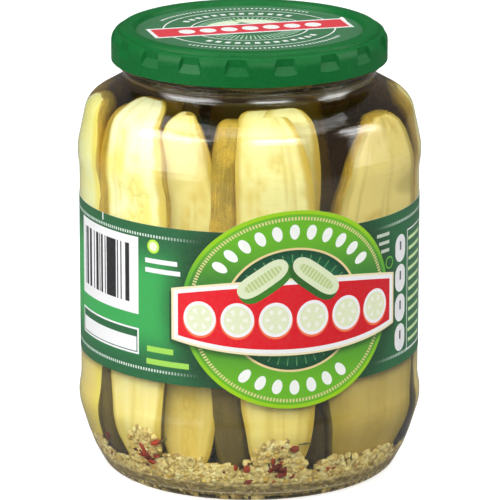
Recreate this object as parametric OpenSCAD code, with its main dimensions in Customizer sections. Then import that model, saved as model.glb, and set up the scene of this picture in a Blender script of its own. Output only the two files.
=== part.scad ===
// A round glass jar of halved pickles in brine. It is closed by a green metal lug cap
// and wrapped in a printed band label with a medallion that stands above and below it.
// The origin is the centre of the circle that the jar stands on. +Z is up, and the
// medallion faces -Y.

/* [Jar body] */
// Radius of the straight panel that carries the label
panel_r = 53.5; // [48:0.5:66]
// Height of the straight panel
panel_h = 68.7; // [56:0.1:90]
// Height of the panel's lower edge above the table
panel_bottom = 29.2; // [27:0.1:36]
// Thickness of the glass in the body and the neck
wall = 2.6; // [2:0.1:3.2]
// Thickness of the glass floor
floor_t = 2.0; // [2:0.1:5]
// How far the middle of the base is pushed up
push_up = 0.8; // [0.5:0.1:3]

/* [Heel and bumpers] */
// How far the foot's outer corner lies inside the panel
foot_in = 8.5; // [6:0.1:11]
// Rounding of the foot's outer corner
foot_round = 5.4; // [4:0.1:6]
// Width of the flat ring that the jar stands on
ring_w = 3; // [2:0.1:5]
// Height of the break between the heel and the lower slope
heel_h = 7.8; // [7:0.1:9]
// Height of the lower bumper's crest
low_bumper_z = 23.2; // [20:0.1:24]
// How far the corner of the lower bumper stands out of the panel
low_bumper_out = 1.1; // [0.5:0.1:1.8]
// Height of the upper bumper's crest above the panel
high_bumper_rise = 5.2; // [4.5:0.1:7]
// How far the corner of the upper bumper stands out of the panel
high_bumper_out = 0.85; // [0.4:0.05:1.5]

/* [Shoulder and neck] */
// Height of the shoulder's corner above the panel
shoulder_rise = 20.9; // [18:0.1:26]
// How far the shoulder's corner lies inside the panel
shoulder_in = 2.5; // [1.5:0.1:4]
// Rounding of the shoulder
shoulder_round = 7.5; // [5.5:0.1:8]
// Height from the shoulder's corner to the foot of the neck
neck_rise = 6.7; // [5.5:0.1:9]
// Radius of the mouth
mouth_r = 36.6; // [32:0.1:40]
// Height from the foot of the neck to the top of the bead below the cap
bead_rise = 5.7; // [5:0.1:8]
// How far the bead stands out of the finish
bead_out = 1.8; // [1:0.1:2]

/* [Finish] */
// Width of the glass rim
rim_w = 3.2; // [3:0.1:4]
// Height from the top of the bead to the rim
finish_h = 10.1; // [9:0.1:13]
// Number of thread lugs round the finish, and of lugs in the cap
lug_count = 6; // [4:1:8]
// How far a thread lug stands out of the finish
thread_out = 1.2; // [0.8:0.1:1.4]
// Angle that one thread lug spans
thread_span = 34; // [20:1:40]

/* [Cap] */
// Thickness of the cap's sheet metal
cap_t = 0.4; // [0.25:0.05:0.5]
// Gap between the cap's lower edge and the bead
skirt_gap = 0.35; // [0.2:0.05:0.6]
// Gap between the thread lugs and the backs of the grip dents
cap_clear = 0.64; // [0.4:0.02:1]
// Height of the raised ring above the skirt's shoulder
ring_rise = 1.25; // [0.8:0.05:1.6]
// Width of the raised ring
ring_width = 4.3; // [4:0.1:4.8]
// Height of the skirt's sloping shoulder
cap_shoulder_h = 1.9; // [1.2:0.1:2.2]
// Rounding where the skirt turns into its shoulder
cap_round = 4; // [2:0.1:5]
// How far the panel lies below the ring
panel_drop = 1.45; // [1:0.05:2]
// Depth of the second, shallow step of the panel
step_drop = 0.35; // [0.2:0.05:0.6]
// Number of grip dents round the skirt
dent_count = 18; // [12:1:20]
// Width of a dent at its mouth
dent_w = 7.6; // [6:0.1:8.5]
// Height of a dent
dent_h = 5.5; // [4.5:0.1:6]
// Depth of a dent
dent_depth = 1.2; // [0.8:0.05:1.5]
// Turn of the row of dents from the front
dent_turn = 0; // [-10:0.1:10]

/* [Label] */
// Thickness of the label
label_t = 0.15; // [0.1:0.05:0.3]
// Height of the label's band
band_h = 49.6; // [36:0.1:52]
// Height of the medallion
medallion_h = 62.8; // [54:0.1:66]
// Angle that the medallion spans round the jar
medallion_span = 75.8; // [60:0.1:90]

/* [Contents] */
// Depth of the empty space from the rim down to the brine
headspace = 11; // [6:0.5:14]

/* [Hidden] */
$fn = 96;

arc_step = 9;              // largest turn between two points of a rounded corner, in degrees
panel_top = panel_bottom + panel_h;
shoulder_z = panel_top + shoulder_rise;
neck_z = shoulder_z + neck_rise;
bead_z = neck_z + bead_rise;
rim_z = bead_z + finish_h;
floor_z = push_up + floor_t;
brine_z = rim_z - headspace;

neck_r = mouth_r + wall;
finish_r = mouth_r + rim_w;
bead_r = finish_r + bead_out;
thread_r = finish_r + thread_out;
foot_r = panel_r - foot_in;
rim_round = 1.5;
mouth_round = 1;
flare_h = 2.2;             // height of the sloping underside of the bead
bead_face = 1;             // height of the bead's upright face

cap_r = thread_r + cap_clear + cap_t + dent_depth;
cap_h = finish_h + cap_t - skirt_gap;
cap_z = rim_z + cap_t - cap_h;
crease_z = cap_h - ring_rise;
ring_in_r = mouth_r - 0.3; // the ring's inner wall passes inside the mouth
ring_out_r = ring_in_r + ring_width;
wall_lean = 0.7;           // how far the ring's inner wall leans in on its way down
step_r = ring_in_r - 2;    // radius of the panel's second step
curl_r = 0.8;              // radius of the curled lower edge
lug_z = cap_z + 0.5;       // underside of a lug in the cap
lug_h = 1.1;
lug_gap = 0.2;             // gap between a lug and the thread above it
lug_span = 14;

panel_mid = panel_bottom + panel_h / 2 + 0.45;

// Outline tools. A corner is [radius, height, rounding], and an outline is a list of
// corners that runs upward with the axis on its left.
function point(c) = [c[0], c[1]];
function unit(v) = v / norm(v);
function left_of(v) = [-v[1], v[0]];
function heading(c, i) = unit(point(c[i + 1]) - point(c[i]));
function turn_sign(a, b) = a[0] * b[1] - a[1] * b[0] >= 0 ? 1 : -1;
function turn_angle(a, b) = acos(min(1, max(-1, a * b)));

// The arc that rounds the corner p between the headings a and b
function corner_arc(p, round, a, b) =
    let (turn = turn_angle(a, b), side = turn_sign(a, b))
    round * turn < 0.01 ? [p] :
    let (start = p - a * round * tan(turn / 2),
         centre = start + left_of(a) * round * side,
         steps = max(2, ceil(turn / arc_step)))
    [for (i = [0:steps])
        let (w = turn * i / steps)
        centre - side * round * (left_of(a) * cos(w) - a * side * sin(w))];

function rounded(c) = [
    for (i = [0:len(c) - 1])
        each (i == 0 || i == len(c) - 1) ? [point(c[i])]
            : corner_arc(point(c[i]), c[i][2], heading(c, i - 1), heading(c, i))
];

// The corners of an outline that runs at a distance d to the left of c
function inset(c, d) = [
    for (i = [1:len(c) - 2])
        let (a = heading(c, i - 1), b = heading(c, i),
             between = unit(left_of(a) + left_of(b)),
             moved = point(c[i]) + between * d / (between * left_of(a)))
        [moved[0], moved[1], max(0, c[i][2] - d * turn_sign(a, b))]
];

function backward(list) = [for (i = [len(list) - 1:-1:0]) list[i]];

// Corners of the glass's outside, from the foot to the rim
side_corners = [
    [foot_r, 0, foot_round],
    [foot_r + heel_h * tan(31.8), heel_h, 40],
    [panel_r + low_bumper_out, low_bumper_z, 13.8],
    [panel_r, panel_bottom, 10],
    [panel_r, panel_top, 10],
    [panel_r + high_bumper_out, panel_top + high_bumper_rise, 18],
    [panel_r - shoulder_in, shoulder_z, shoulder_round],
    [neck_r, neck_z, 3.2],
    [neck_r, bead_z - bead_face - flare_h, 1],
];
base_corners = [
    [0, push_up, 0],
    [foot_r - ring_w - 7, push_up, 2],
    [foot_r - ring_w - 4, 0, 1.5],
];
finish_corners = [
    [bead_r, bead_z - bead_face, 0.6],
    [bead_r, bead_z, 0.4],
    [finish_r, bead_z + 0.6, 0.3],
    [finish_r, rim_z, rim_round],
    [(finish_r + mouth_r) / 2, rim_z, 0],
];

// Corners of the glass's inside: the body's outside moved in by the wall, on a flat
// floor with a wide round corner
moved_in = inset(side_corners, wall);
heel_corner = moved_in[1];
slope_run = (moved_in[1][0] - moved_in[0][0]) / (moved_in[1][1] - moved_in[0][1]);
inside_corners = concat(
    [[0, floor_z, 0]],
    [[heel_corner[0] - slope_run * (heel_corner[1] - floor_z), floor_z, 7.5]],
    [for (i = [1:len(moved_in) - 1]) moved_in[i]],
    [[mouth_r, rim_z, mouth_round]],
    [[(finish_r + mouth_r) / 2, rim_z, 0]]
);
inside_path = rounded(inside_corners);

module glass_outline() {
    outside_path = rounded(concat(base_corners, side_corners, finish_corners));
    polygon(concat(outside_path, backward(inside_path)));
}

module ring_lugs(count, span, r0, r1, z0, h) {
    for (i = [0:count - 1])
        rotate(i * 360 / count - 90 - span / 2)
            translate([0, 0, z0])
                rotate_extrude(angle = span)
                    translate([r0, 0])
                        square([r1 - r0, h]);
}

module jar() {
    color([0.86, 0.9, 0.86, 0.35]) {
        rotate_extrude() glass_outline();
        ring_lugs(lug_count, thread_span, finish_r - 0.5, thread_r,
            lug_z + lug_h + lug_gap, 1.3);
    }
}

// Corners of the cap's outside, from its lower edge to the middle of its panel
cap_corners = [
    [cap_r, 0, 0],
    [cap_r, crease_z - cap_shoulder_h, cap_round],
    [cap_r - cap_shoulder_h * tan(35), crease_z, 1.4],
    [ring_out_r, crease_z, 0.3],
    [ring_out_r, cap_h, 1.2],
    [ring_in_r, cap_h, 0.8],
    [ring_in_r - wall_lean, cap_h - panel_drop, 0.5],
    [step_r, cap_h - panel_drop, 0.5],
    [step_r - 0.5, cap_h - panel_drop - step_drop, 0.5],
    [0, cap_h - panel_drop - step_drop, 0],
];

module cap_outside() {
    rotate_extrude()
        polygon(concat([[0, 0]], rounded(cap_corners)));
}

module cap_inside() {
    lowered = inset(cap_corners, cap_t);
    last = len(lowered) - 1;
    rotate_extrude()
        polygon(concat(
            [[0, -1], [cap_r - cap_t, -1]],
            rounded(concat([[cap_r - cap_t, 0, 0]], lowered, [[0, lowered[last][1], 0]]))
        ));
}

// One grip dent, grown by the metal's thickness where it is seen from inside the cap
module dent(grow) {
    back = cap_r - dent_depth - grow;
    front = cap_r + 2;
    mouth_half = dent_w / 2 + grow;
    back_half = dent_w / 2 - dent_depth + grow;
    spread = (front - back) * (mouth_half - back_half) / dent_depth;
    top = crease_z + 0.01 + grow;
    bottom = crease_z - dent_h - grow;
    ramp_h = dent_h * 0.5;
    lean = (front - back) * ramp_h / dent_depth;
    intersection() {
        linear_extrude(2 * cap_h)
            polygon([[-back_half, -back], [back_half, -back],
                     [back_half + spread, -front], [-back_half - spread, -front]]);
        rotate([90, 0, -90])
            linear_extrude(4 * dent_w, center = true)
                polygon([[back, bottom + ramp_h], [front, bottom + ramp_h - lean],
                         [front, top], [back, top]]);
    }
}

module dents(grow) {
    for (i = [0:dent_count - 1])
        rotate(dent_turn + i * 360 / dent_count)
            dent(grow);
}

module cap() {
    color([0.07, 0.5, 0.22]) {
        translate([0, 0, cap_z]) {
            difference() {
                difference() {
                    cap_outside();
                    dents(0);
                }
                difference() {
                    cap_inside();
                    dents(cap_t);
                }
            }
            rotate_extrude()
                translate([cap_r - curl_r, curl_r])
                    circle(curl_r, $fn = 32);
        }
        ring_lugs(lug_count, lug_span, finish_r + 0.5, cap_r - curl_r, lug_z, lug_h);
    }
}

// The medallion's outline, flattened onto a plane in front of the jar
function medallion_point(w) = [
    (panel_r + label_t / 2) * sin(medallion_span / 2 * cos(w)),
    medallion_h / 2 * sin(w)
];

module label() {
    color([0.08, 0.42, 0.2])
        intersection() {
            difference() {
                translate([0, 0, panel_bottom])
                    cylinder(r = panel_r + label_t, h = panel_h);
                translate([0, 0, panel_bottom - 1])
                    cylinder(r = panel_r, h = panel_h + 2);
            }
            translate([0, 0, panel_mid]) {
                cylinder(r = panel_r + 5, h = band_h, center = true);
                rotate([90, 0, 0])
                    linear_extrude(panel_r + 5)
                        polygon([for (i = [0:95]) medallion_point(i * 360 / 96)]);
            }
        }
}

module brine() {
    color([0.72, 0.68, 0.3, 0.6])
        rotate_extrude()
            intersection() {
                polygon(concat(inside_path, [[0, rim_z]]));
                square([panel_r, brine_z]);
            }
}

jar();
cap();
label();
brine();
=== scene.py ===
# %% [markdown]
# # A jar of halved pickles
# The object is a glass jar with a green lacquered cap, a printed wrap label, and pickle halves standing in
# brine on a bed of minced garlic. The glass, cap and label come ready-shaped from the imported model, and get
# their finishes here. Everything that sinks in the brine is modelled here with bmesh.

import math
import random

import bmesh
import bpy
from mathutils import Matrix, Vector, noise


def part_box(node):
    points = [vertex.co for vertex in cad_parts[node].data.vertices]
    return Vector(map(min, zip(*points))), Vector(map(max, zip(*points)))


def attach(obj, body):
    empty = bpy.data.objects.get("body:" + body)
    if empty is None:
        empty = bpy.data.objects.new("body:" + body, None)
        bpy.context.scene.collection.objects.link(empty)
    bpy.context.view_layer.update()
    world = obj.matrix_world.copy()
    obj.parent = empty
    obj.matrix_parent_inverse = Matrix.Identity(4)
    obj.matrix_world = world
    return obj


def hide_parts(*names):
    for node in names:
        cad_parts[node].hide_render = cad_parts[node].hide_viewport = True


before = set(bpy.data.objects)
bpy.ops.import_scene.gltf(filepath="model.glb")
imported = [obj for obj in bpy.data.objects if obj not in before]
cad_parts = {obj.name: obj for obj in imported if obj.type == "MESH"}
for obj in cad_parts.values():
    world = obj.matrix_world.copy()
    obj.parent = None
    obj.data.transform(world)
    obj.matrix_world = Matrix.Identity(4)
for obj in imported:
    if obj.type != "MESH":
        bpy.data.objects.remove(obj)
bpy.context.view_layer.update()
print("nodes:", sorted(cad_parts))

# %% [markdown]
# ## Sizes
# The brine shows how wide the inside of the glass is at each height, because it fills the jar right up to the
# wall. A table of height and radius, read from its points, keeps each sunken piece inside the glass.

# %% Measure the inside of the glass
MM = 0.001
RING_STEP = 0.4 * MM
LEAST_WALL_R = 25 * MM

label_low, label_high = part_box("label")
brine_low, brine_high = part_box("brine")
cap_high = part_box("cap")[1]
LABEL_R = label_high.x
LABEL_MID = (label_low.z + label_high.z) / 2
BRINE_TOP = brine_high.z

rings = {}
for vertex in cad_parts["brine"].data.vertices:
    step = round(vertex.co.z / RING_STEP)
    point = (math.hypot(vertex.co.x, vertex.co.y), vertex.co.z)
    rings[step] = max(rings.get(step, (0, 0)), point)
wall_rings = sorted((z, r) for r, z in rings.values() if r > LEAST_WALL_R)


def widest(z):
    """The radius of the inside of the glass at this height."""
    below = max((p for p in wall_rings if p[0] <= z), default=wall_rings[0])
    above = min((p for p in wall_rings if p[0] >= z), default=wall_rings[-1])
    if above[0] - below[0] < 1e-7:
        return below[1]
    part = (z - below[0]) / (above[0] - below[0])
    return below[1] + part * (above[1] - below[1])


print("inside radius at 10, 60 and 120 mm:",
      [round(widest(z * MM) / MM, 1) for z in (10, 60, 120)])

# %% [markdown]
# ## Camera
# The jar stands turned a little, so that the round medallion of the label looks to the right of the camera.
# A long lens almost one and a half metres away keeps the rings of the glass flat, as in a catalogue.

# %% Place the camera
CAMERA_BEARING = math.radians(-14.95)
CAMERA_RISE = math.radians(15.15)
CAMERA_AWAY = 1.44497
AIM_HEIGHT = 0.06899
AIM_ASIDE = 0.00018


def around(bearing, radius, z=0.0):
    """A point at this bearing from the middle of the label, clockwise seen from below."""
    return Vector((radius * math.sin(bearing), -radius * math.cos(bearing), z))


aim = Vector((AIM_ASIDE * math.cos(CAMERA_BEARING), AIM_ASIDE * math.sin(CAMERA_BEARING), AIM_HEIGHT))
camera_data = bpy.data.cameras.new("camera")
camera_data.lens = 328.9
camera_data.sensor_width = 36
camera_data.clip_start = 0.05
camera_data.clip_end = 50
camera = bpy.data.objects.new("camera", camera_data)
bpy.context.scene.collection.objects.link(camera)
camera.location = aim + around(CAMERA_BEARING, CAMERA_AWAY * math.cos(CAMERA_RISE),
                               CAMERA_AWAY * math.sin(CAMERA_RISE))
camera.rotation_euler = (aim - camera.location).to_track_quat("-Z", "Y").to_euler()
bpy.context.scene.camera = camera
bpy.context.scene.view_settings.view_transform = "Standard"
print("camera at", [round(c, 3) for c in camera.location])

# %% [markdown]
# ## Writing finishes in nodes
# A finish is a small drawing made of sums: each helper below adds one node and gives back its output, so
# that a pattern reads like a formula. The lines of a print are then exact at any distance, with no picture
# to load. Painting them as an image would be quicker to draw, but it would blur and need a file.

# %% Helpers for finishes


def plug(tree, value, socket):
    """Sets a socket to a number or a colour, or wires an output to it."""
    if isinstance(value, bpy.types.NodeSocket):
        tree.links.new(value, socket)
    elif isinstance(value, (tuple, list)) and len(value) == 3 and socket.type == "RGBA":
        socket.default_value = (*value, 1)
    else:
        socket.default_value = value


def calc(tree, operation, *values):
    """One sum of a pattern."""
    node = tree.nodes.new("ShaderNodeMath")
    node.operation = operation
    for value, socket in zip(values, node.inputs):
        plug(tree, value, socket)
    return node.outputs[0]


def times(tree, first, *others):
    """The product of patterns. Of masks, it keeps what they share."""
    for other in others:
        first = calc(tree, "MULTIPLY", first, other)
    return first


def is_over(tree, value, limit):
    """A mask, 1 where the value is over the limit."""
    return calc(tree, "GREATER_THAN", value, limit)


def is_under(tree, value, limit):
    """A mask, 1 where it is under."""
    return calc(tree, "LESS_THAN", value, limit)


def wave(tree, kind, value, rate):
    """A SINE or COSINE that turns by rate radians for each unit of the value."""
    return calc(tree, kind, times(tree, value, rate))


def out_from_middle(tree, x, y):
    """The distance from the middle."""
    return calc(tree, "SQRT", calc(tree, "MULTIPLY_ADD", x, x, times(tree, y, y)))


def paint(tree, mask, under, over):
    """The colour over, laid on the colour under where the mask is 1."""
    node = tree.nodes.new("ShaderNodeMix")
    node.data_type = "RGBA"
    plug(tree, mask, node.inputs[0])
    plug(tree, under, node.inputs[6])
    plug(tree, over, node.inputs[7])
    return node.outputs[2]


def ease(tree, value, low, high, out_low=0.0, out_high=1.0):
    """A soft step from out_low to out_high as the value goes from low to high."""
    node = tree.nodes.new("ShaderNodeMapRange")
    node.interpolation_type = "SMOOTHSTEP"
    for name, number in (("From Min", low), ("From Max", high), ("To Min", out_low), ("To Max", out_high)):
        node.inputs[name].default_value = number
    plug(tree, value, node.inputs["Value"])
    return node.outputs["Result"]


def bar(tree, s, h, middle, size):
    """A filled rectangle."""
    across = calc(tree, "COMPARE", s, middle[0], size[0] / 2)
    up = calc(tree, "COMPARE", h, middle[1], size[1] / 2)
    return times(tree, across, up)


def spread(tree, s, h, middle, radii):
    """How far out a point is on an oval, squared: 1 on its edge."""
    across = calc(tree, "MULTIPLY_ADD", s, 1 / radii[0], -middle[0] / radii[0])
    up = calc(tree, "MULTIPLY_ADD", h, 1 / radii[1], -middle[1] / radii[1])
    return calc(tree, "MULTIPLY_ADD", up, up, times(tree, across, across))


def ring(tree, squared, inner, outer):
    """The band of an oval from inner to outer, both shares of its radius."""
    return times(tree, is_over(tree, squared, inner * inner), is_under(tree, squared, outer * outer))


def stretched(tree, place, scale):
    """A place with its three measures scaled."""
    mapping = tree.nodes.new("ShaderNodeMapping")
    mapping.inputs["Scale"].default_value = scale
    tree.links.new(place, mapping.inputs["Vector"])
    return mapping.outputs["Vector"]


def grain(tree, place, scale, detail, roughness=0.5, stretch=None):
    """Soft random unevenness, from 0 to 1."""
    node = tree.nodes.new("ShaderNodeTexNoise")
    node.inputs["Scale"].default_value = scale
    node.inputs["Detail"].default_value = detail
    node.inputs["Roughness"].default_value = roughness
    if stretch:
        place = stretched(tree, place, stretch)
    tree.links.new(place, node.inputs["Vector"])
    return node.outputs["Fac"]


def cells(tree, place, scale):
    """How far a point is from the middle of its cell, in a pattern of random cells."""
    node = tree.nodes.new("ShaderNodeTexVoronoi")
    node.inputs["Scale"].default_value = scale
    tree.links.new(place, node.inputs["Vector"])
    return node.outputs["Distance"]


def island_chance(tree):
    """One random number for each loose piece of a mesh."""
    return tree.nodes.new("ShaderNodeNewGeometry").outputs["Random Per Island"]


def new_finish(name):
    """An empty material, with its nodes and a Principled shader."""
    finish = bpy.data.materials.new(name)
    finish.use_nodes = True
    tree = finish.node_tree
    tree.nodes.clear()
    output = tree.nodes.new("ShaderNodeOutputMaterial")
    shader = tree.nodes.new("ShaderNodeBsdfPrincipled")
    tree.links.new(shader.outputs[0], output.inputs["Surface"])
    return finish, tree, shader


def place_of(tree):
    """The point in the object's own frame."""
    return tree.nodes.new("ShaderNodeTexCoord").outputs["Object"]


def parts_of(tree, place):
    """A place as three numbers."""
    split = tree.nodes.new("ShaderNodeSeparateXYZ")
    tree.links.new(place, split.inputs[0])
    return split.outputs[0], split.outputs[1], split.outputs[2]


def emboss(tree, shader, height, distance, strength=1.0):
    """Fine relief in the light, from a height pattern."""
    node = tree.nodes.new("ShaderNodeBump")
    node.inputs["Distance"].default_value = distance
    node.inputs["Strength"].default_value = strength
    tree.links.new(height, node.inputs["Height"])
    tree.links.new(node.outputs[0], shader.inputs["Normal"])


def coat(tree, shader, colour, roughness):
    """Gives a finish its colour and its roughness."""
    plug(tree, colour, shader.inputs["Base Color"])
    plug(tree, roughness, shader.inputs["Roughness"])


def make_clear(shader, tint, bending):
    """A clear stuff: its tint, and how strongly it bends light."""
    shader.inputs["Base Color"].default_value = (*tint, 1)
    shader.inputs["Transmission Weight"].default_value = 1
    shader.inputs["IOR"].default_value = bending


def make_soft(shader, weight, depths):
    """Lets light sink in: how much of it, and how deep its red, green and blue go, in metres."""
    shader.inputs["Subsurface Weight"].default_value = weight
    shader.inputs["Subsurface Radius"].default_value = depths
    shader.inputs["Subsurface Scale"].default_value = 1.0


def let_lamps_through(tree, shader):
    """Shadow rays pass straight through, so that the lamps light what stands in the glass."""
    output = tree.nodes["Material Output"]
    clear = tree.nodes.new("ShaderNodeBsdfTransparent")
    mix = tree.nodes.new("ShaderNodeMixShader")
    ray = tree.nodes.new("ShaderNodeLightPath")
    tree.links.new(ray.outputs["Is Shadow Ray"], mix.inputs[0])
    tree.links.new(shader.outputs[0], mix.inputs[1])
    tree.links.new(clear.outputs[0], mix.inputs[2])
    tree.links.new(mix.outputs[0], output.inputs["Surface"])


def dress(node_name, finish):
    """Gives a ready-shaped piece its finish."""
    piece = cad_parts[node_name]
    piece.data.materials.clear()
    piece.data.materials.append(finish)
    return piece


print("helpers ready")

# %% [markdown]
# ## Floor, sky and lamps
# The floor is a wide pale sheet. What the camera sees directly is white, while the glass sees a darker room,
# which gives its edges and neck their deep grey. Under the jar alone, the floor sends a little warm light up,
# as a bright table does, and the camera does not see that patch either. A big soft box stands at the left, a
# weaker one in front and one at the right. Each is five boxes in one, so that its light fades towards the
# foot. A wide one above lights the floor. The lamps are all hidden from the camera.

# %% Floor
floor_mesh = bmesh.new()
bmesh.ops.create_grid(floor_mesh, x_segments=8, y_segments=8, size=6)
floor_data = bpy.data.meshes.new("floor")
floor_mesh.to_mesh(floor_data)
floor_mesh.free()
floor = bpy.data.objects.new("floor", floor_data)
bpy.context.scene.collection.objects.link(floor)

floor_finish, tree, shader = new_finish("pale_floor")
shader.inputs["Specular IOR Level"].default_value = 0.1
seen = tree.nodes.new("ShaderNodeLightPath").outputs["Is Camera Ray"]
coat(tree, shader, paint(tree, seen, (0.22, 0.22, 0.225), (0.95, 0.95, 0.95)), 0.9)
x, y = parts_of(tree, place_of(tree))[:2]
patch = ease(tree, out_from_middle(tree, x, y), 0.040, 0.050, 1, 0)
glow = paint(tree, patch, (0, 0, 0), (1.0, 0.80, 0.42))
plug(tree, paint(tree, seen, glow, (1, 1, 1)), shader.inputs["Emission Color"])
shader.inputs["Emission Strength"].default_value = 0.35
floor_data.materials.append(floor_finish)
print("floor:", len(floor_data.polygons), "faces")

# %% Sky
world = bpy.data.worlds.new("studio")
world.use_nodes = True
bpy.context.scene.world = world
sky = world.node_tree
sky.nodes.clear()
sky_output = sky.nodes.new("ShaderNodeOutputWorld")
background = sky.nodes.new("ShaderNodeBackground")
sky.links.new(background.outputs[0], sky_output.inputs["Surface"])
direct = sky.nodes.new("ShaderNodeLightPath").outputs["Is Camera Ray"]
plug(sky, paint(sky, direct, (0.13, 0.13, 0.135), (1.0, 1.0, 1.0)), background.inputs["Color"])
print("sky ready")

# %% Lamps


def soft_box(name, bearing, rise, away, size, power, look_at=0.07):
    """A rectangular lamp that faces the jar."""
    data = bpy.data.lights.new(name, "AREA")
    data.shape = "RECTANGLE"
    data.size, data.size_y = size
    data.energy = power
    lamp = bpy.data.objects.new(name, data)
    bpy.context.scene.collection.objects.link(lamp)
    bearing, rise = math.radians(bearing), math.radians(rise)
    target = Vector((0, 0, look_at))
    lamp.location = target + around(bearing, away * math.cos(rise), away * math.sin(rise))
    lamp.rotation_euler = (target - lamp.location).to_track_quat("-Z", "Y").to_euler()
    lamp.visible_camera = False
    return lamp


def soft_wall(name, bearing, rise, away, size, power, layers=5):
    """Soft boxes of growing size with one top edge, so that the light fades away downwards."""
    for layer in range(layers):
        share = 0.45 + 0.55 * (layer + 1) / layers
        height = size[1] * share
        lower = (size[1] - height) / 2
        soft_box(f"{name}_{layer + 1}", bearing, rise + math.degrees(lower / away), away,
                 (size[0] * share, height), power / layers)


soft_wall("left_box", -74, 20, 1.35, (1.6, 1.1), 18)
soft_wall("front_box", 6, 26, 1.6, (1.2, 0.8), 11)
soft_wall("right_box", 74, 20, 1.4, (0.9, 1.0), 8.5)
soft_box("top_box", 0, 90, 1.9, (2.4, 2.4), 24, 0.0)

# %% [markdown]
# ## Glass
# Clear soda-lime glass bends light by 1.5. Real jars are blown, so the wall is never quite even: a slow, very
# shallow waviness breaks the reflections up. Plain refraction would leave the contents in the dark, because a
# lamp can't be found through a bent path, so shadow rays are let straight through.

# %% Finish the glass
glass, tree, shader = new_finish("clear_glass")
where = place_of(tree)
make_clear(shader, (0.97, 0.985, 0.975), 1.5)
smear = grain(tree, where, 60, 2)
plug(tree, ease(tree, smear, 0.3, 0.8, 0.0, 0.05), shader.inputs["Roughness"])
emboss(tree, shader, grain(tree, where, 28, 1), 0.0006, 0.3)
let_lamps_through(tree, shader)
jar = dress("jar", glass)
print("glass on", jar.name)

# %% [markdown]
# ## Brine
# The brine touches the glass with no air between. Two skins at the same place would fight, so the brine is a
# copy of its ready-made shape, welded and grown a quarter of a millimetre into the wall. Light then meets
# glass, brine and glass in turn, and bends by the right amount in total.

# %% Grow the brine into the wall
INTO_WALL = 0.25 * MM

brine_mesh = bmesh.new()
brine_mesh.from_mesh(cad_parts["brine"].data)
bmesh.ops.remove_doubles(brine_mesh, verts=brine_mesh.verts, dist=1e-6)
brine_mesh.normal_update()
for vertex in brine_mesh.verts:
    push = vertex.normal.copy()
    if vertex.co.z > BRINE_TOP - 0.05 * MM:
        push.z = 0
    vertex.co += push * INTO_WALL
bmesh.ops.recalc_face_normals(brine_mesh, faces=brine_mesh.faces)
for face in brine_mesh.faces:
    face.smooth = True


def settle(mesh, name, *finishes, body="root", slot="brine"):
    """Turns a bmesh into a piece that rides on the jar."""
    data = bpy.data.meshes.new(name)
    mesh.to_mesh(data)
    mesh.free()
    piece = bpy.data.objects.new(name, data)
    bpy.context.scene.collection.objects.link(piece)
    for finish in finishes:
        data.materials.append(finish)
    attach(piece, body)
    return piece


brine, tree, shader = new_finish("pickling_brine")
where = place_of(tree)
make_clear(shader, (0.98, 0.98, 0.93), 1.34)
murk = tree.nodes.new("ShaderNodeVolumeAbsorption")
murk.inputs["Color"].default_value = (0.50, 0.42, 0.10, 1)
murk.inputs["Density"].default_value = 28
tree.links.new(murk.outputs[0], tree.nodes["Material Output"].inputs["Volume"])
plug(tree, ease(tree, grain(tree, where, 40, 1), 0.2, 0.8, 0.0, 0.03), shader.inputs["Roughness"])
emboss(tree, shader, grain(tree, where, 90, 1), 0.0001, 0.1)
let_lamps_through(tree, shader)
brine_fill = settle(brine_mesh, "brine_fill", brine)
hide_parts("brine")
print("brine:", len(brine_fill.data.polygons), "faces")

# %% [markdown]
# ## Cap lacquer and print
# The cap is tin plate with a stoved green lacquer: satin, with the slight orange peel of a sprayed coat. The
# panel's green is painted a little greyer: painted sheen, standing in for the light its flat top reflects.
# The print is worked out from the point's place on it, in millimetres: two fine rings with beads between
# them, short rays inside and dots outside, two cucumber slices, and a red bar with a white edge and a row of
# discs.

# %% Lacquer the cap
PANEL_R = 35.4
PANEL_DEPTH = 3

lacquer, tree, shader = new_finish("green_lacquer")
where = place_of(tree)
px, py, pz = [times(tree, part, 1000) for part in parts_of(tree, where)]
on_top = is_over(tree, pz, cap_high.z / MM - PANEL_DEPTH)
panel = times(tree, is_under(tree, out_from_middle(tree, px, py), PANEL_R), on_top)
speckle = grain(tree, where, 900, 3, 0.7)
cloud = grain(tree, where, 35, 2)
green = paint(tree, ease(tree, cloud, 0.3, 0.7), (0.0, 0.108, 0.018), (0.001, 0.125, 0.022))
green = paint(tree, ease(tree, speckle, 0.35, 0.75, 0, 0.35), green, (0.010, 0.17, 0.040))
# Painted sheen: the flat panel gets a greyer green, standing in for the light it reflects from above.
green = paint(tree, panel, green, (0.050, 0.170, 0.075))
shader.inputs["Specular IOR Level"].default_value = 0.2
emboss(tree, shader, grain(tree, where, 620, 2, 0.6), 0.00012, 0.6)
cap = dress("cap", lacquer)
print("lacquer on", cap.name)

# %% Print the cap's rings, rays and dots
WHITE_INK = (0.80, 0.82, 0.80)
PALE_INK = (0.42, 0.62, 0.46)
PRINT_MID = (1.0, 3.8)

disc = spread(tree, px, py, PRINT_MID, (27.1, 25.6))
turn = calc(tree, "ARCTAN2", calc(tree, "SUBTRACT", px, PRINT_MID[0]),
            calc(tree, "SUBTRACT", py, PRINT_MID[1]))
off_sides = calc(tree, "ABSOLUTE", calc(tree, "COSINE", turn))
rays = times(tree, is_over(tree, wave(tree, "SINE", turn, 62), 0.55), ring(tree, disc, 0.42, 0.62))
beads = times(tree, is_over(tree, wave(tree, "COSINE", turn, 44), -0.1), ring(tree, disc, 0.795, 0.875))
beads = times(tree, beads, is_over(tree, off_sides, 0.62))
dots = times(tree, is_over(tree, wave(tree, "COSINE", turn, 130), 0.0), ring(tree, disc, 1.105, 1.15))
dots = times(tree, dots, is_over(tree, off_sides, 0.58))
marks = calc(tree, "MAXIMUM", beads, dots)
for low, high in ((0.672, 0.690), (0.988, 1.006)):
    marks = calc(tree, "MAXIMUM", marks, ring(tree, disc, low, high))
green = paint(tree, times(tree, rays, panel), green, PALE_INK)
green = paint(tree, times(tree, marks, panel), green, WHITE_INK)

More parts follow.
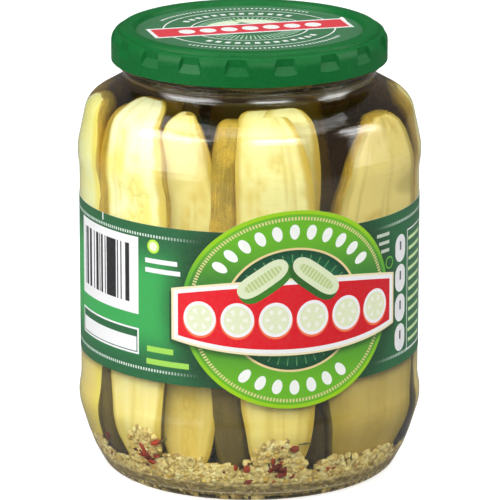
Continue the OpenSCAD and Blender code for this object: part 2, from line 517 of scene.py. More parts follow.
# %% Print the cap's slices and bar
BAR_MID = (1.25, 3.8)
BAR_RED = (0.66, 0.05, 0.065)

for middle, slope in (((-5.0, 12.0), 0.42), ((6.0, 12.6), -0.42)):
    along = calc(tree, "SUBTRACT", px, middle[0])
    level = calc(tree, "SUBTRACT", py, times(tree, along, slope))
    slice_shape = spread(tree, along, level, (0.0, middle[1]), (7.4, 3.6))
    for share, colour in ((1.0, (0.20, 0.42, 0.16)), (0.86, (0.70, 0.80, 0.60))):
        green = paint(tree, times(tree, ring(tree, slice_shape, 0.0, share), panel), green, colour)
for size, colour in (((64.1, 13.4), WHITE_INK), ((61.7, 11.0), BAR_RED)):
    green = paint(tree, times(tree, bar(tree, px, py, BAR_MID, size), on_top), green, colour)
slot_x = calc(tree, "PINGPONG", calc(tree, "SUBTRACT", px, BAR_MID[0]), 3.4)
coin = spread(tree, slot_x, py, (0.0, BAR_MID[1]), (2.6, 2.9))
coins = times(tree, ring(tree, coin, 0.0, 1.0), bar(tree, px, py, BAR_MID, (47.6, 9)), on_top)
green = paint(tree, coins, green, WHITE_INK)
coat(tree, shader, green, ease(tree, speckle, 0.2, 0.8, 0.36, 0.52))
print("cap nodes:", len(tree.nodes))

# %% [markdown]
# ## Label print
# The label is coated paper with a satin varnish. Its drawing is flat: the point's angle round the jar gives
# the distance along the paper, s, and its height gives h, both in millimetres from the middle of the
# medallion. Every field comes from these two numbers. Words are left out, and rows of slices, beads and bars
# stand in their places.

# %% Paper and band
DARK_GREEN = (0.022, 0.135, 0.048)
FRESH_GREEN = (0.045, 0.400, 0.092)
DEEP_GREEN = (0.014, 0.060, 0.024)
MEDALLION = (35.4, 31.4)

paper, tree, shader = new_finish("label_paper")
where = place_of(tree)
x, y, z = parts_of(tree, where)
s = times(tree, calc(tree, "ARCTAN2", x, times(tree, y, -1)), LABEL_R / MM)
h = times(tree, calc(tree, "SUBTRACT", z, LABEL_MID), 1000)
far_up = calc(tree, "ABSOLUTE", h)
far_out = calc(tree, "ABSOLUTE", s)
middle = ease(tree, far_up, 7, 21, 1, 0)
# Painted light: the band's fresh green is painted strong on the left, where the big lamp falls, and weak on
# the right. Round the back a share of it stays as print.
left_side = times(tree, ease(tree, s, -50, 40, 1, 0.12), ease(tree, far_out, 90, 150, 1, 0))
left_side = calc(tree, "ADD", left_side, ease(tree, far_out, 90, 150, 0, 0.4))
ink = paint(tree, times(tree, middle, left_side), DARK_GREEN, FRESH_GREEN)
medallion = spread(tree, s, h, (0, 0), MEDALLION)
ink = paint(tree, ease(tree, medallion, 0.9, 1.7, 0.95, 0), ink, DEEP_GREEN)
dash = times(tree, is_over(tree, wave(tree, "SINE", s, 2 * math.pi / 1.05), -0.1),
             calc(tree, "COMPARE", far_up, 21.4, 0.45), ease(tree, far_out, 28, 46))
ink = paint(tree, dash, ink, (0.66, 0.78, 0.68))
print("band nodes:", len(tree.nodes))

# %% Boxes, tables and bars of the band
PAPER_WHITE = (0.90, 0.90, 0.90)
PALE_LIME = (0.62, 0.80, 0.40)
LEAF_GREEN = (0.36, 0.70, 0.10)
TABLE_GREEN = (0.03, 0.16, 0.065)

# middle, width and height, colour
fields = [
    ((-67.6, 8.0), (33.2, 24.6), PAPER_WHITE),
    ((-67.6, -13.0), (33.2, 8.4), PAPER_WHITE),
    ((-67.6, -13.0), (32.0, 7.2), DARK_GREEN),
    ((-67.6, -14.0), (31.2, 4.6), PAPER_WHITE),
    ((-68.0, 23.7), (0.6, 2.4), PAPER_WHITE),
    ((55.6, -2.0), (15.4, 39.0), PAPER_WHITE),
    ((55.6, -2.0), (14.6, 38.2), TABLE_GREEN),
    ((-42.5, 13.6), (11.5, 1.5), PAPER_WHITE),
    ((-42.0, 10.6), (12.5, 1.5), PAPER_WHITE),
    ((-43.0, -14.6), (9.5, 1.8), LEAF_GREEN),
    ((-40.5, -18.6), (15.0, 1.8), LEAF_GREEN),
]
for row in range(11):
    fields.append(((55.6, 14.4 - 3.3 * row), (12.4 if row % 3 else 13.2, 1.1), PALE_LIME))
for row in range(3):
    fields.append(((33.2 + 0.5 * row, 19.0 - 2.6 * row), (6.2 - row, 1.1), (0.55, 0.62, 0.50)))
for spot, size, colour in fields:
    ink = paint(tree, bar(tree, s, h, spot, size), ink, colour)
print("fields:", len(fields))

# %% Stripes, pills and small signs
STRIPE_STEP = 0.55

stripe = calc(tree, "FLOOR", times(tree, s, 1 / STRIPE_STEP))
stripe_chance = tree.nodes.new("ShaderNodeTexWhiteNoise")
stripe_chance.noise_dimensions = "1D"
tree.links.new(stripe, stripe_chance.inputs["W"])
black = times(tree, is_over(tree, stripe_chance.outputs["Value"], 0.52),
              bar(tree, s, h, (-68.6, 8.4), (27.5, 18.6)))
ink = paint(tree, black, ink, (0.02, 0.02, 0.022))
for row in range(4):
    out, up = 43.1, 12.7 - 9.6 * row
    pill = bar(tree, s, h, (out, up), (6.6, 2.4))
    for end in (1.2, -1.2):
        pill_end = spread(tree, s, h, (out, up + end), (3.3, 3.2))
        pill = calc(tree, "MAXIMUM", pill, is_under(tree, pill_end, 1))
    ink = paint(tree, pill, ink, (0.84, 0.84, 0.84))
    ink = paint(tree, bar(tree, s, h, (out, up + 0.8), (1.0, 2.8)), ink, (0.08, 0.08, 0.08))
small_slice = spread(tree, s, h, (-45.2, 18.2), (2.2, 2.2))
ink = paint(tree, is_under(tree, small_slice, 1), ink, (0.50, 0.80, 0.05))
ink = paint(tree, ease(tree, small_slice, 0.1, 0.7, 1, 0), ink, (0.92, 0.95, 0.70))
small_ring = spread(tree, s, h, (36.4, 9.6), (2.0, 2.0))
ink = paint(tree, ring(tree, small_ring, 0.78, 1.0), ink, (0.15, 0.50, 0.05))
print("nodes with the signs:", len(tree.nodes))

# %% [markdown]
# ## Medallion and banner
# An oval with a bright rim carries fine ticks, a row of white beads and a dark core with a gold edge. Each
# bead is an oval too: the angle is folded into one pitch, and measured across and out in half beads. The
# banner's top and bottom bow with the square of s.

# %% Medallion
BEAD_PITCH = 2 * math.pi / 32
BEAD_HALF = (1.5, 2.5)
BEAD_ROW_R = 26.4
BEAD_ROW = 0.785
MEAN_R = sum(MEDALLION) / 2

up_down = ease(tree, far_up, 5, 25)
around_oval = calc(tree, "ARCTAN2", times(tree, h, 1 / MEDALLION[1]), times(tree, s, 1 / MEDALLION[0]))
oval_ink = paint(tree, up_down, (0.045, 0.21, 0.035), (0.150, 0.485, 0.020))
rim_ink = paint(tree, up_down, (0.085, 0.38, 0.035), (0.330, 0.640, 0.008))
oval_ink = paint(tree, ring(tree, medallion, 0.962, 1.01), oval_ink, rim_ink)
ticks = is_over(tree, wave(tree, "SINE", around_oval, 198), -0.15)
oval_ink = paint(tree, times(tree, ticks, ring(tree, medallion, 0.902, 0.936)), oval_ink, (0.74, 0.66, 0.30))
bead_across = times(tree, calc(tree, "PINGPONG", around_oval, BEAD_PITCH / 2), BEAD_ROW_R / BEAD_HALF[0])
out_scale = MEAN_R / BEAD_HALF[1]
bead_out = calc(tree, "MULTIPLY_ADD", calc(tree, "SQRT", medallion), out_scale, -BEAD_ROW * out_scale)
bead = calc(tree, "MULTIPLY_ADD", bead_across, bead_across, times(tree, bead_out, bead_out))
height_round = calc(tree, "SINE", around_oval)
high_arc = is_over(tree, height_round, math.sin(math.radians(28)))
low_arc = is_under(tree, height_round, -math.sin(math.radians(51)))
beads = times(tree, is_under(tree, bead, 1), calc(tree, "MAXIMUM", high_arc, low_arc))
oval_ink = paint(tree, beads, oval_ink, (0.93, 0.96, 0.90))
print("nodes with the oval:", len(tree.nodes))

# %% Core of the medallion
core = spread(tree, s, h, (0, 0), (22.0, 19.7))
core_ink = paint(tree, ease(tree, core, 0.1, 1.0), (0.016, 0.22, 0.075), (0.006, 0.062, 0.028))
rays = is_over(tree, wave(tree, "SINE", calc(tree, "ARCTAN2", h, s), 36), 0.93)
rays = times(tree, rays, ring(tree, core, 0.72, 0.90), 0.55)
core_ink = paint(tree, rays, core_ink, (0.20, 0.50, 0.18))
core_ink = paint(tree, is_over(tree, core, 0.93), core_ink, (0.84, 0.66, 0.32))
oval_ink = paint(tree, is_under(tree, core, 1.0), oval_ink, core_ink)
ink = paint(tree, is_under(tree, medallion, 1), ink, oval_ink)
print("nodes with the medallion:", len(tree.nodes))

# %% Banner
BANNER_HALF = 38.8
BANNER_BOW = 4.1

bow = times(tree, times(tree, s, s), BANNER_BOW / BANNER_HALF ** 2)
rise = calc(tree, "ADD", h, bow)
sag = calc(tree, "SUBTRACT", h, bow)
shade = times(tree, ease(tree, sag, -17.0, -14.2, 0, 0.75), is_under(tree, far_out, 39.5),
              is_under(tree, rise, 9.0))
ink = paint(tree, shade, ink, (0.010, 0.040, 0.016))
# Painted light: the banner's red is painted brighter on the left, where the big lamp falls, and darker on the
# right.
banner_red = paint(tree, ease(tree, s, -36, 36), (0.82, 0.014, 0.024), (0.66, 0.006, 0.014))
for half, top, bottom, colour in ((BANNER_HALF, 10.1, -14.4, (0.90, 0.80, 0.50)),
                                  (38.0, 9.4, -13.7, (0.92, 0.91, 0.91)),
                                  (36.6, 8.1, -12.4, banner_red)):
    banner = times(tree, is_under(tree, far_out, half), is_under(tree, rise, top), is_over(tree, sag, bottom))
    ink = paint(tree, banner, ink, colour)
print("nodes with the banner:", len(tree.nodes))

# %% Cucumber halves


def cucumber(ink, middle, lean, skin):
    """A halved cucumber on the label, drawn as a spindle of skin with a pale face on it."""
    cos, sin = math.cos(math.radians(lean)), math.sin(math.radians(lean))
    ds, dh = calc(tree, "SUBTRACT", s, middle[0]), calc(tree, "SUBTRACT", h, middle[1])
    along = calc(tree, "MULTIPLY_ADD", ds, cos, times(tree, dh, sin))
    across = calc(tree, "MULTIPLY_ADD", ds, -sin, times(tree, dh, cos))
    along2 = times(tree, along, along)
    along4 = times(tree, along2, along2)

    def spindle(half, wide, shift):
        side = times(tree, calc(tree, "SUBTRACT", across, shift), 1 / wide)
        squared = calc(tree, "MULTIPLY_ADD", side, side, times(tree, along4, 1 / half ** 4))
        return is_under(tree, squared, 1)

    ink = paint(tree, spindle(9.2, 3.9, -1.2), ink, skin)
    ink = paint(tree, spindle(9.0, 3.3, 0.2), ink, (0.76, 0.84, 0.56))
    specks = ease(tree, wave(tree, "SINE", along, 5.2), -0.4, 0.6, 0.25, 0.75)
    return paint(tree, times(tree, spindle(6.8, 1.5, 0.1), specks), ink, (0.42, 0.56, 0.12))


ink = cucumber(ink, (-9.8, 10.0), 34, (0.05, 0.22, 0.02))
ink = cucumber(ink, (7.0, 10.0), -37, (0.03, 0.13, 0.02))
print("nodes with the cucumbers:", len(tree.nodes))

# %% Row of slices on the banner
LANE_HALF = 5.9
SLICE_UP = -2.8

lane = calc(tree, "SUBTRACT", LANE_HALF, calc(tree, "PINGPONG", s, LANE_HALF))
row = is_under(tree, far_out, 35.2)
drop = spread(tree, lane, h, (0.0, SLICE_UP - 0.5), (5.35, 5.65))
slices = spread(tree, lane, h, (0.0, SLICE_UP), (5.15, 5.45))
for shape, limit, colour in ((drop, 1, (0.92, 0.20, 0.08)), (slices, 1, (0.93, 0.92, 0.92)),
                             (slices, 0.66, (0.80, 0.86, 0.58))):
    ink = paint(tree, times(tree, is_under(tree, shape, limit), row), ink, colour)
wedge = calc(tree, "ARCTAN2", calc(tree, "SUBTRACT", h, SLICE_UP), lane)
pips = times(tree, is_over(tree, wave(tree, "COSINE", wedge, 6), 0.35), row, ring(tree, slices, 0.34, 0.64))
ink = paint(tree, pips, ink, (0.93, 0.93, 0.80))

# %% Finish the label
PRINT_SKIN = 0.08 * MM

printed = is_over(tree, out_from_middle(tree, x, y), LABEL_R - PRINT_SKIN)
fibre = grain(tree, where, 900, 3, 0.6)
ink = paint(tree, ease(tree, fibre, 0.35, 0.7, 0, 0.05), ink, (0.3, 0.3, 0.3))
ink = paint(tree, printed, (0.78, 0.77, 0.73), ink)
coat(tree, shader, ink, ease(tree, fibre, 0.2, 0.8, 0.34, 0.46))
shader.inputs["Specular IOR Level"].default_value = 0.35
emboss(tree, shader, fibre, 0.00003, 0.5)
label = dress("label", paper)
print("print on", label.name, "with", len(tree.nodes), "nodes")

# %% [markdown]
# ## Pickle flesh and skin
# A pickle half has two finishes. The cut face is pale, wet and slightly see-through: fibres run out from a
# seed core to a darker rim. The skin is gold to olive, with long streaks and small warts. Both follow the
# pickle, not the jar, so each piece carries its own measures across, deep and along as an attribute.

# %% Flesh finish


def own_place(tree):
    """The point in the pickle's own measures: across, deep and along."""
    node = tree.nodes.new("ShaderNodeAttribute")
    node.attribute_name = "cut"
    return node.outputs["Vector"]


def flesh_finish(name, pale, warm, rim, low):
    """The cut face of a half. Across runs from -1 to 1 at the skin; along is in centimetres."""
    finish, tree, shader = new_finish(name)
    where = own_place(tree)
    across = parts_of(tree, where)[0]
    jar_z = parts_of(tree, place_of(tree))[2]
    side = calc(tree, "ABSOLUTE", across)

    wander = grain(tree, where, 0.8, 3, 0.6, (1, 1, 0.5))
    colour = paint(tree, ease(tree, wander, 0.44, 0.66), pale, warm)
    colour = paint(tree, ease(tree, jar_z, 0.070, 0.024, 0, 0.80), colour, low)
    fibres = grain(tree, where, 4, 4, 0.6, (0.6, 1, 1.8))
    colour = paint(tree, ease(tree, fibres, 0.50, 0.75, 0, 0.2), colour, warm)
    streak = grain(tree, where, 1.7, 3, 0.55, (1.6, 1, 0.07))
    light = times(tree, ease(tree, streak, 0.50, 0.68, 0, 0.7), ease(tree, jar_z, 0.03, 0.09, 0.3, 1))
    colour = paint(tree, light, colour, pale)
    colour = paint(tree, ease(tree, streak, 0.32, 0.46, 0.35, 0), colour, rim)

    seed_out = cells(tree, stretched(tree, where, (1.6, 1, 0.8)), 2.4)
    seeds = times(tree, ease(tree, seed_out, 0.30, 0.42), ease(tree, seed_out, 0.46, 0.62, 1, 0))
    core = times(tree, ease(tree, side, 0.30, 0.60, 1, 0), ease(tree, wander, 0.48, 0.60))
    colour = paint(tree, times(tree, core, 0.4), colour, warm)
    colour = paint(tree, times(tree, seeds, core, 0.28), colour, rim)
    bruise = grain(tree, where, 0.5, 2, 0.5)
    colour = paint(tree, ease(tree, bruise, 0.58, 0.72, 0, 0.55), colour, rim)

    edge = calc(tree, "ADD", side, times(tree, calc(tree, "SUBTRACT", wander, 0.5), 0.20))
    edge = calc(tree, "ADD", edge, times(tree, across, 0.06))
    colour = paint(tree, ease(tree, edge, 0.76, 0.96, 0, 0.9), colour, rim)
    coat(tree, shader, colour, ease(tree, fibres, 0.3, 0.7, 0.30, 0.45))
    make_soft(shader, 0.2, (0.003, 0.002, 0.0008))
    relief = calc(tree, "ADD", fibres, times(tree, streak, 0.8))
    emboss(tree, shader, relief, 0.0005, 0.32)
    return finish


RIM_GOLD = (0.62, 0.43, 0.04)
LOW_GOLD = (0.90, 0.72, 0.17)
LOW_OLIVE = (0.48, 0.33, 0.045)
LEMON_RIM = (0.96, 0.80, 0.14)
LEMON_LOW = (0.98, 0.70, 0.11)
pale_flesh = flesh_finish("pale_flesh", (1.0, 0.99, 0.60), (1.0, 0.90, 0.27), (0.72, 0.54, 0.07), LOW_GOLD)
lemon_flesh = flesh_finish("lemon_flesh", (1.0, 1.0, 0.52), (1.0, 0.94, 0.30), LEMON_RIM, LEMON_LOW)
gold_flesh = flesh_finish("gold_flesh", (1.0, 0.88, 0.34), (0.92, 0.68, 0.12), RIM_GOLD, (0.82, 0.62, 0.12))
cream_flesh = flesh_finish("cream_flesh", (0.91, 0.85, 0.37), (0.82, 0.68, 0.18), RIM_GOLD, LOW_GOLD)
tan_flesh = flesh_finish("tan_flesh", (0.84, 0.69, 0.22), (0.72, 0.53, 0.12), (0.42, 0.31, 0.03), LOW_OLIVE)
print("flesh finishes:", [m.name for m in bpy.data.materials if m.name.endswith("_flesh")])

# %% Skin finish
skin, tree, shader = new_finish("pickle_skin")
where = own_place(tree)
jar_z = parts_of(tree, place_of(tree))[2]
patches = grain(tree, where, 0.9, 3, 0.6)
streaks = grain(tree, where, 7, 3, 0.6, (1.6, 1.6, 0.12))
pores = grain(tree, where, 16, 3, 0.65)
colour = paint(tree, ease(tree, patches, 0.35, 0.68), (0.78, 0.50, 0.040), (0.46, 0.32, 0.03))
colour = paint(tree, ease(tree, streaks, 0.45, 0.75, 0, 0.6), colour, (0.92, 0.66, 0.09))
colour = paint(tree, ease(tree, pores, 0.5, 0.75, 0, 0.6), colour, (0.17, 0.11, 0.015))
# Painted shade: towards the floor of the jar the skin is painted almost black, for the shade among the halves
# down there.
colour = paint(tree, ease(tree, jar_z, 0.058, 0.036, 0, 0.82), colour, (0.075, 0.06, 0.012))
coat(tree, shader, colour, ease(tree, pores, 0.3, 0.7, 0.30, 0.5))
make_soft(shader, 0.1, (0.002, 0.0015, 0.0006))
warts = calc(tree, "ADD", pores, times(tree, streaks, 0.6))
emboss(tree, shader, warts, 0.0008, 0.7)
print("skin nodes:", len(tree.nodes))

# %% [markdown]
# ## Pickle halves
# A halved gherkin is a spindle with a flat face. Each starts as a sphere: its rings are drawn out to a fuller
# profile than an oval, one side is flattened to the cut face, and the other keeps its round back. The piece
# is then stood in its place, bent a little, and every point is held inside the glass. Sculpting would give
# more freedom, but numbers let fifteen halves be packed side by side with hardly any overlap.

# %% Shape one half
AROUND = 44
RINGS = 36
FACE_BULGE = 0.9
FACE_EDGE = 8
TUCK = 0.16
TUCK_TOP = 27
LAID_FLAT = 0.3
WALL_CLEAR = 0.6
WALL_GAP = 0.4


def fullness(t, power):
    """The share of the full width that a spindle has at t, from -1 at its foot to 1 at its tip."""
    return max(0.0, 1 - abs(t) ** power) ** (1 / power)


def within(radius, x):
    """How far out a point can be, x aside, and stay within this radius."""
    return math.sqrt(max(0, radius ** 2 - x * x))


def pickle_half(name, bearing, low, high, wide, deep, flesh, bend, lean=0.0, taper=0.0,
                face_out=True, ring_r=None, seed=0, power=3.1, foot=2.8):
    """One half, standing against the wall, or at ring_r from the middle. In millimetres and degrees."""
    mesh = bmesh.new()
    bmesh.ops.create_uvsphere(mesh, u_segments=AROUND, v_segments=RINGS, radius=1)
    cut = mesh.verts.layers.float_vector.new("cut")
    half_long, middle_z = (high - low) / 2, (high + low) / 2
    turn = math.radians(bearing)
    offset = Vector((seed * 7.3, seed * 3.1, seed * 5.7))
    for vertex in mesh.verts:
        t = vertex.co.z
        angle = math.atan2(vertex.co.y, vertex.co.x)
        full = fullness(t, power if t > 0 else foot) * (1 + taper * t)
        z = middle_z + half_long * t
        x = wide / 2 * full * math.cos(angle)
        if angle > 0:
            back = deep * full * math.sin(angle) ** 0.9
        else:
            back = -FACE_BULGE * full * (1 - abs(math.cos(angle)) ** FACE_EDGE)
        wobble = noise.noise(Vector((x, back, z)) * 0.06 + offset)
        knobs = noise.noise(Vector((x, back, z)) * 0.35 + offset)
        if angle > 0:
            back += (wobble * 1.6 + max(0, knobs) * 0.7) * full
        else:
            back += 0.35 * wobble * full
        x += wobble * 0.8 * full
        across = math.cos(angle) if angle > 0 else x / max(0.5, wide / 2 * full)
        vertex[cut] = Vector((across, back / 10, z / 10)) + Vector((0, seed * 1.7, seed * 2.9))
        x += bend * max(0.0, t) ** 3 + lean * t
        wall = widest(z * MM) / MM - WALL_CLEAR
        if ring_r is None:
            wall -= TUCK * max(0.0, TUCK_TOP - z)
            chord = min(within(wall, wide / 2) + 1.5, within(wall, x))
            out = LAID_FLAT * chord + (1 - LAID_FLAT) * within(wall, x) - back - WALL_GAP
        elif face_out:
            out = ring_r - back
        else:
            out = ring_r + back
        out = min(out, within(wall, x))
        spot = around(turn, out * MM, z * MM)
        spot += Vector((math.cos(turn), math.sin(turn), 0)) * x * MM
        vertex.co = spot
    bmesh.ops.recalc_face_normals(mesh, faces=mesh.faces)
    for face in mesh.faces:
        face.smooth = True
        deepness = sum((v[cut].y for v in face.verts), 0) / len(face.verts) - seed * 1.7
        face.material_index = 1 if deepness > 0.03 else 0
    return settle(mesh, name, flesh, skin)


print("one half has", AROUND, "x", RINGS, "faces")

# %% Stand the outer halves against the wall
# name, bearing, foot and tip heights, width, depth, flesh, bend, lean, taper, seed, fullness of the tip
outer = [
    ("half_a", -58.3, 7.5, 122.5, 23.6, 8, pale_flesh, -4, 0, 0.07, 1, 4.2),
    ("half_b", -5, 7.5, 122.3, 24.2, 6, cream_flesh, -2.6, -0.6, 0, 2, 4.2),
    ("half_c", 38, 7, 117, 41, 15, tan_flesh, 2.5, 1.8, -0.05, 3, 2.9),
    ("half_d", -99, 8, 118, 39, 15, lemon_flesh, 1, 0, 0.02, 4, 3),
    ("half_e", 84, 8, 118, 36, 13, cream_flesh, -1, 1, 0, 5, 3),
    ("half_f", 128, 7, 120, 35, 13, pale_flesh, 1, 0, 0.03, 6, 2.8),
    ("half_g", 172, 8, 117, 36, 13, tan_flesh, -1, 0, 0, 7, 3.2),
    ("half_h", -144, 7, 121, 36, 13, cream_flesh, 1, -1, 0, 8, 2.8),
]
for name, bearing, low, high, wide, deep, flesh, bend, lean, taper, seed, power in outer:
    pickle_half(name, bearing, low, high, wide, deep, flesh, bend, lean, taper, seed=seed, power=power)
print("outer halves:", len(outer))

# %% Stand the inner halves behind the gaps
# name, bearing, foot and tip heights, width, depth, flesh, cut face outwards or not, distance from the
# middle, bend, fullness of the tip and of the foot, seed
inner = [
    ("half_o", -38.6, 9, 121.5, 23, 8, gold_flesh, True, 45.2, -2.5, 2.5, 2.4, 16),
    ("half_i", -1.8, 10, 122.8, 22.6, 9, cream_flesh, True, 42.2, 1.5, 4, 2.8, 9),
    ("half_j", -76.5, 10, 118, 15, 10, tan_flesh, False, 40, 0, 3.1, 2.8, 10),
    ("half_k", -21.5, 10, 120, 16, 9, tan_flesh, False, 40.8, 0, 3.6, 2.8, 11),
    ("half_l", 17, 10, 70, 12, 8, tan_flesh, False, 36.5, 0, 3.1, 2.8, 12),
    ("half_m", 150, 10, 112, 30, 12, cream_flesh, False, 16, 0, 3.1, 2.8, 13),
    ("half_n", -120, 10, 110, 28, 12, tan_flesh, False, 16, 0, 3.1, 2.8, 14),
]
for name, bearing, low, high, wide, deep, flesh, outward, away, bend, power, foot, seed in inner:
    pickle_half(name, bearing, low, high, wide, deep, flesh, bend, face_out=outward, ring_r=away, seed=seed,
                power=power, foot=foot)
print("inner halves:", len(inner))

# %% [markdown]
# ## Garlic bed
# The bed is a heap of minced garlic and spice. Its core is one turned shape whose top is roughened, because
# what lies inside a heap is never seen. Loose chips lie over the core and against the glass: small angular
# stones, each turned its own way, joined into one piece. A particle system would be lost in the export.

# %% Turn the core of the bed
FLOOR = brine_low.z / MM
CROWN = FLOOR + 6
CORE_GAP = 0.45


def bed_top(bearing, radius):
    """The height of the bed in millimetres: higher near the wall, and uneven."""
    place = Vector((math.sin(bearing) * radius, math.cos(bearing) * radius, 0))
    uneven = 1.8 * noise.noise(place * 0.07) + 0.8 * noise.noise(place * 0.3)
    return FLOOR + 3.6 + 3.0 * (radius / 46) ** 3 + uneven


core_mesh = bmesh.new()
profile = [(r, FLOOR + 0.1) for r in (0, 14, 28, 35)]
profile += [(widest((FLOOR + step) * MM) / MM - CORE_GAP, FLOOR + step) for step in (0.3, 1.1, 2.4, 4.2)]
profile += [(r, CROWN) for r in (42, 34, 26, 18, 10, 0)]
points = [core_mesh.verts.new((0, -r * MM, z * MM)) for r, z in profile]
edges = [core_mesh.edges.new(pair) for pair in zip(points, points[1:])]
bmesh.ops.spin(core_mesh, geom=points + edges, cent=(0, 0, 0), axis=(0, 0, 1), dvec=(0, 0, 0),
               angle=2 * math.pi, steps=120, use_merge=True, use_duplicate=False)
bmesh.ops.remove_doubles(core_mesh, verts=core_mesh.verts, dist=1e-5)
bmesh.ops.subdivide_edges(core_mesh, edges=core_mesh.edges, cuts=1, use_grid_fill=True)
for vertex in core_mesh.verts:
    radius = math.hypot(vertex.co.x, vertex.co.y) / MM
    bearing = math.atan2(vertex.co.x, -vertex.co.y)
    if vertex.co.z > (CROWN - 0.6) * MM:
        vertex.co.z = (bed_top(bearing, radius) + 1.0 * noise.noise(vertex.co * 700)) * MM
        room = widest(vertex.co.z) / MM - 0.6
        if radius > room:
            vertex.co.x *= room / radius
            vertex.co.y *= room / radius
bmesh.ops.recalc_face_normals(core_mesh, faces=core_mesh.faces)
for face in core_mesh.faces:
    face.smooth = True

# %% Garlic finishes
garlic, tree, shader = new_finish("minced_garlic")
ramp = tree.nodes.new("ShaderNodeValToRGB")
tree.links.new(island_chance(tree), ramp.inputs[0])
stops = ramp.color_ramp.elements
stops[0].position, stops[0].color = 0.0, (0.38, 0.25, 0.06, 1)
stops[1].position, stops[1].color = 1.0, (1.0, 0.92, 0.45, 1)
for position, tone in ((0.12, (0.68, 0.48, 0.13)), (0.45, (0.92, 0.73, 0.25)), (0.8, (1.0, 0.84, 0.34))):
    stops.new(position).color = (*tone, 1)
mottle = grain(tree, place_of(tree), 500, 3, 0.6)
colour = paint(tree, ease(tree, mottle, 0.4, 0.75, 0, 0.5), ramp.outputs[0], (0.52, 0.38, 0.14))
coat(tree, shader, colour, ease(tree, mottle, 0.3, 0.7, 0.35, 0.55))
make_soft(shader, 0.15, (0.0012, 0.001, 0.0005))
emboss(tree, shader, mottle, 0.0003, 0.6)

silt, tree, shader = new_finish("garlic_silt")
where = place_of(tree)
crumbs = cells(tree, where, 520)
fleck = grain(tree, where, 320, 3, 0.7)
colour = paint(tree, ease(tree, fleck, 0.3, 0.7), (0.52, 0.37, 0.12), (0.90, 0.72, 0.29))
# Painted shade: the edges of the crumbs are painted dark, for the shade in the gaps between them.
colour = paint(tree, ease(tree, crumbs, 0.3, 0.8, 0, 0.7), colour, (0.20, 0.14, 0.06))
coat(tree, shader, colour, ease(tree, fleck, 0.3, 0.7, 0.4, 0.6))
emboss(tree, shader, crumbs, -0.0008, 0.8)
bed_core = settle(core_mesh, "bed_core", silt)
print("core:", len(bed_core.data.polygons), "faces")

# %% Scatter the loose pieces
BED_RIM = 47
CHIP_LEAST, CHIP_MOST = 2.0, 4.6
CHIPS_AT_WALL = 2600
CHIPS_ON_TOP = 1500
chance = random.Random(20)


def stone(size, rough):
    """A small angular chip, about one unit across before it is sized."""
    mesh = bmesh.new()
    bmesh.ops.create_icosphere(mesh, subdivisions=1, radius=0.5)
    for vertex in mesh.verts:
        vertex.co *= 1 + rough * chance.uniform(-1, 1)
        vertex.co.x *= size[0]
        vertex.co.y *= size[1]
        vertex.co.z *= size[2]
    data = bpy.data.meshes.new("stock")
    mesh.to_mesh(data)
    mesh.free()
    return data


def lay(heap, stock, spot, size):
    """Adds one chip to a heap, turned at random."""
    angle = chance.uniform(0, 6.28)
    axis = Vector((chance.uniform(-1, 1), chance.uniform(-1, 1), chance.uniform(0.1, 1)))
    turn = Matrix.Rotation(angle, 4, axis.normalized())
    place = Matrix.Translation(spot) @ turn @ Matrix.Scale(size * MM, 4)
    stock.transform(place)
    heap.from_mesh(stock)
    stock.transform(place.inverted())


def near_wall(bearing, z, gap):
    """A point this far inside the glass, at a bearing in degrees. Lengths are in millimetres."""
    return around(math.radians(bearing), widest(z * MM) - gap * MM, z * MM)


chips = [stone((1.0, chance.uniform(0.6, 0.9), chance.uniform(0.5, 0.8)), 0.22) for _ in range(7)]
heap = bmesh.new()
for _ in range(CHIPS_AT_WALL):
    bearing = chance.uniform(0, 360)
    top = bed_top(math.radians(bearing), BED_RIM) + 0.8
    height = chance.uniform(FLOOR + 0.7, top)
    size = chance.uniform(CHIP_LEAST, CHIP_MOST)
    lay(heap, chance.choice(chips), near_wall(bearing, height, size * 0.62 + 0.3), size)
for _ in range(CHIPS_ON_TOP):
    bearing, radius = chance.uniform(0, 2 * math.pi), 45.5 * math.sqrt(chance.uniform(0.03, 1))
    size = chance.uniform(CHIP_LEAST, CHIP_MOST)
    spot = around(bearing, radius * MM, (bed_top(bearing, radius) + 0.3) * MM)
    lay(heap, chance.choice(chips), spot, size)
print("chips of the bed:", CHIPS_AT_WALL + CHIPS_ON_TOP)

# %% Heap chips up against the glass
# bearing, spread, rise and number of chips
HEAPS = [
    (-56.0, 6.5, 14.5, 240),
    (-4.5, 7.5, 13.5, 240),
    (40.0, 13.0, 5.0, 120),
    (-27.0, 8.0, 5.0, 110),
    (-39.0, 9.0, 7.0, 160),
    (18.0, 7.0, 6.0, 90),
    (-84.0, 9.0, 6.0, 90),
]
for middle, reach, tall, count in HEAPS:
    for _ in range(count):
        part = chance.random() ** 1.3
        height = FLOOR + 5.5 + tall * part
        size = chance.uniform(1.8, 3.9)
        bearing = chance.gauss(middle, reach * (1 - 0.75 * part))
        lay(heap, chance.choice(chips), near_wall(bearing, height, size * 0.5 + 0.25), size)
garlic_bits = settle(heap, "garlic_bits", garlic)
print("garlic chips:", len(garlic_bits.data.polygons) // 20)

# %% [markdown]
# ## Spice
# Crushed red pepper, mustard seeds and dill lie on the bed, mostly in front of the two halves that face the
# camera. Each kind is one joined piece with its own finish, so that each can be recoloured on its own.

# %% Spice finishes


def spice_finish(name, one, other, scale, rough):
    """A spice with two tones, mottled."""
    finish, tree, shader = new_finish(name)
    mottle = grain(tree, place_of(tree), scale, 3, 0.6)
    mixed = calc(tree, "ADD", times(tree, mottle, 0.6), times(tree, island_chance(tree), 0.5))
    colour = paint(tree, ease(tree, mixed, 0.3, 0.8), one, other)
    coat(tree, shader, colour, ease(tree, mottle, 0.3, 0.7, rough, rough + 0.15))
    emboss(tree, shader, mottle, 0.0002, 0.6)
    return finish


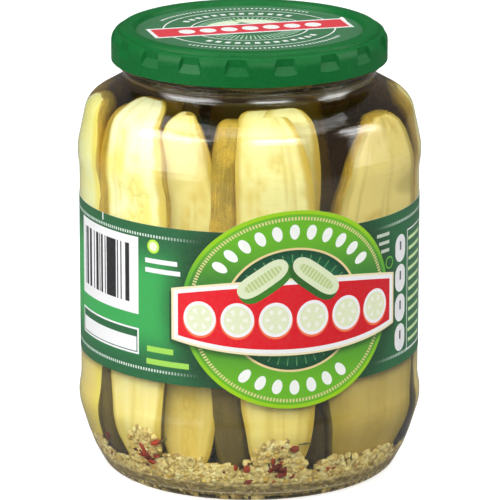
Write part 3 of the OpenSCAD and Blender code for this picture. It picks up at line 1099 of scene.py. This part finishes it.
chilli = spice_finish("chilli_flake", (0.11, 0.014, 0.002), (0.44, 0.042, 0.004), 600, 0.35)
mustard = spice_finish("mustard_seed", (0.62, 0.36, 0.05), (0.86, 0.66, 0.16), 700, 0.3)
dill = spice_finish("dill_sliver", (0.045, 0.05, 0.015), (0.12, 0.12, 0.03), 500, 0.4)
print("spice finishes:", chilli.name, mustard.name, dill.name)

# %% Ways to lay the spice
CLUSTERS = ((-55.0, FLOOR + 11), (-5.5, FLOOR + 11))


def lay_singly(heap, stock, gap, places):
    """Single pieces by the glass, each with its bearing, height and size."""
    for bearing, height, size in places:
        lay(heap, stock, near_wall(bearing, height, gap), size)


def lay_clusters(heap, stock, gap, count, drift, lift, rise, sizes):
    """A cluster by each of the two halves. Lift raises its middle; drift and rise spread it."""
    for middle, height in CLUSTERS:
        for _ in range(count):
            bearing = chance.gauss(middle, drift)
            spot = near_wall(bearing, max(FLOOR + 6, chance.gauss(height + lift, rise)), gap)
            lay(heap, stock, spot, chance.uniform(*sizes))


def lay_all_round(heap, stock, gap, count, shares, sizes):
    """Pieces all round the glass, at a share of the bed's own height."""
    for _ in range(count):
        bearing = chance.uniform(0, 360)
        spot = near_wall(bearing, bed_top(math.radians(bearing), BED_RIM) * chance.uniform(*shares), gap)
        lay(heap, stock, spot, chance.uniform(*sizes))


print("clusters at", CLUSTERS)

# %% Lay the spice
flake = stone((1.0, 0.80, 0.42), 0.22)
flakes = bmesh.new()
lay_singly(flakes, flake, 0.9, [
    (-49.5, 19.0, 4.2), (-56.0, 16.5, 3.6), (-55.5, 15.0, 3.8), (-54.0, 13.0, 4.8), (-53.0, 11.8, 4.2),
    (-57.0, 13.5, 3.0), (0.8, 19.0, 4.2), (-6.5, 15.0, 3.8), (-5.5, 13.2, 4.4), (-4.0, 12.0, 4.8),
    (-2.8, 11.0, 4.2), (-7.5, 12.0, 3.0), (-20.0, 13.0, 3.0), (-16.0, 12.5, 3.0), (-76.0, 16.0, 3.0)])
lay_clusters(flakes, flake, 1.2, 8, 2.5, 0, 2.0, (1.8, 2.8))
lay_all_round(flakes, flake, 1.3, 46, (0.75, 1.1), (1.4, 3.2))
chilli_flakes = settle(flakes, "chilli_flakes", chilli)

ball = bmesh.new()
bmesh.ops.create_icosphere(ball, subdivisions=2, radius=0.5)
for face in ball.faces:
    face.smooth = True
seed_stock = bpy.data.meshes.new("stock")
ball.to_mesh(seed_stock)
ball.free()
seeds = bmesh.new()
lay_clusters(seeds, seed_stock, 1.1, 7, 4.5, 1, 2.4, (1.7, 2.1))
lay_all_round(seeds, seed_stock, 1.4, 60, (0.7, 1.05), (1.6, 2.1))
mustard_seeds = settle(seeds, "mustard_seeds", mustard)

sliver = stone((1.0, 0.18, 0.14), 0.2)
slivers = bmesh.new()
lay_singly(slivers, sliver, 1.0, [(-46.5, 20.0, 5.0), (-50.0, 14.0, 3.6), (4.8, 20.5, 5.0),
                                  (-8.0, 14.0, 3.8), (-20.0, 13.0, 3.5), (25.0, 13.0, 4.0)])
lay_all_round(slivers, sliver, 1.7, 40, (0.7, 1.15), (2.0, 3.4))
dill_slivers = settle(slivers, "dill_slivers", dill)
print("spice pieces:", chilli_flakes.name, mustard_seeds.name, dill_slivers.name)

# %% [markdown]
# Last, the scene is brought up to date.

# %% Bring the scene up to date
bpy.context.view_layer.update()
